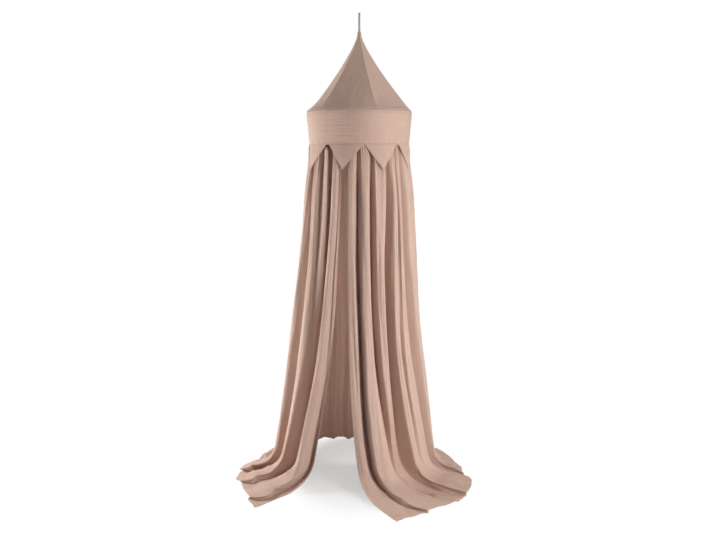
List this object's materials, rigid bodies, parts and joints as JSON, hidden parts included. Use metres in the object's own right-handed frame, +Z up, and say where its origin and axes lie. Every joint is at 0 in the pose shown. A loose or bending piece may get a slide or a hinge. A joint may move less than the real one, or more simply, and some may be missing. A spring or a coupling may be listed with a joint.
{
  "type": "bed canopy",
  "caption": "Hanging bed canopy: hollow-sided gored cloth roof and drum band on a hoop, pennant trim, gathered curtain open at the front with hems trailing on the floor",
  "frame": {"origin": "the inside top of the hanging loop, where a hook carries the canopy", "axes": "+Z up along the canopy's height, the front opening faces -Y, +X is to the right seen from the front"},
  "size_m": [1.1441, 0.9129, 2.2215],
  "materials": {
    "crown_cloth": "plain-woven cotton and linen, dusty pink beige, matt",
    "pennant_cloth": "the same cloth, two layers turned right side out",
    "curtain_cloth": "the same cloth, gathered, with turned and stitched hems",
    "loop_tape": "narrow woven cotton tape",
    "hoop_rod": "smooth drawn plastic rod",
    "hoop_sleeve": "moulded plastic sleeve"
  },
  "bodies": {
    "canopy": {"hanging_loop": "loop_tape", "roof_gore_1": "crown_cloth", "roof_gore_2": "crown_cloth", "roof_gore_3": "crown_cloth", "roof_gore_4": "crown_cloth", "roof_gore_5": "crown_cloth", "roof_gore_6": "crown_cloth", "hoop_section_1": "hoop_rod", "hoop_section_2": "hoop_rod", "hoop_section_3": "hoop_rod", "hoop_section_4": "hoop_rod", "hoop_connector_1": "hoop_sleeve", "hoop_connector_2": "hoop_sleeve", "hoop_connector_3": "hoop_sleeve", "hoop_connector_4": "hoop_sleeve", "hoop_casing": "crown_cloth", "band_front": "crown_cloth", "band_back": "crown_cloth", "left_side_panel": "curtain_cloth", "back_left_panel": "curtain_cloth", "back_right_panel": "curtain_cloth", "right_side_panel": "curtain_cloth"},
    "left_leaf": {"left_front_leaf": "curtain_cloth"},
    "right_leaf": {"right_front_leaf": "curtain_cloth"},
    "pennant_flap_1": {"pennant_1": "pennant_cloth"},
    "pennant_flap_2": {"pennant_2": "pennant_cloth"},
    "pennant_flap_3": {"pennant_3": "pennant_cloth"},
    "pennant_flap_4": {"pennant_4": "pennant_cloth"},
    "pennant_flap_5": {"pennant_5": "pennant_cloth"},
    "pennant_flap_6": {"pennant_6": "pennant_cloth"},
    "pennant_flap_7": {"pennant_7": "pennant_cloth"},
    "pennant_flap_8": {"pennant_8": "pennant_cloth"}
  },
  "joints": [
    {"name": "left_leaf_draw", "type": "hinge", "parent": "canopy", "child": "left_leaf", "pos_m": [-0.18956, -0.10292, -0.593], "axis": [0, 0, 1], "range_deg": [0, 10]},
    {"name": "right_leaf_draw", "type": "hinge", "parent": "canopy", "child": "right_leaf", "pos_m": [0.11109, -0.18489, -0.593], "axis": [0, 0, -1], "range_deg": [0, 10]},
    {"name": "pennant_lift_1", "type": "hinge", "parent": "canopy", "child": "pennant_flap_1", "pos_m": [-0.20463, -0.1254, -0.6053], "axis": [-0.5225, 0.8526, 0], "range_deg": [0, 60]},
    {"name": "pennant_lift_2", "type": "hinge", "parent": "canopy", "child": "pennant_flap_2", "pos_m": [-0.06292, -0.2316, -0.6053], "axis": [-0.965, 0.2622, 0], "range_deg": [0, 60]},
    {"name": "pennant_lift_3", "type": "hinge", "parent": "canopy", "child": "pennant_flap_3", "pos_m": [0.10257, -0.21698, -0.6053], "axis": [-0.9041, -0.4274, 0], "range_deg": [0, 60]},
    {"name": "pennant_lift_4", "type": "hinge", "parent": "canopy", "child": "pennant_flap_4", "pos_m": [0.2233, -0.08796, -0.6053], "axis": [-0.3665, -0.9304, 0], "range_deg": [0, 60]},
    {"name": "pennant_lift_5", "type": "hinge", "parent": "canopy", "child": "pennant_flap_5", "pos_m": [0.21751, 0.10143, -0.6053], "axis": [0.4226, -0.9063, 0], "range_deg": [0, 60]},
    {"name": "pennant_lift_6", "type": "hinge", "parent": "canopy", "child": "pennant_flap_6", "pos_m": [0.07416, 0.22825, -0.6053], "axis": [0.9511, -0.309, 0], "range_deg": [0, 60]},
    {"name": "pennant_lift_7", "type": "hinge", "parent": "canopy", "child": "pennant_flap_7", "pos_m": [-0.11267, 0.21191, -0.6053], "axis": [0.8829, 0.4695, 0], "range_deg": [0, 60]},
    {"name": "pennant_lift_8", "type": "hinge", "parent": "canopy", "child": "pennant_flap_8", "pos_m": [-0.23182, 0.06212, -0.6053], "axis": [0.2588, 0.9659, 0], "range_deg": [0, 60]}
  ]
}
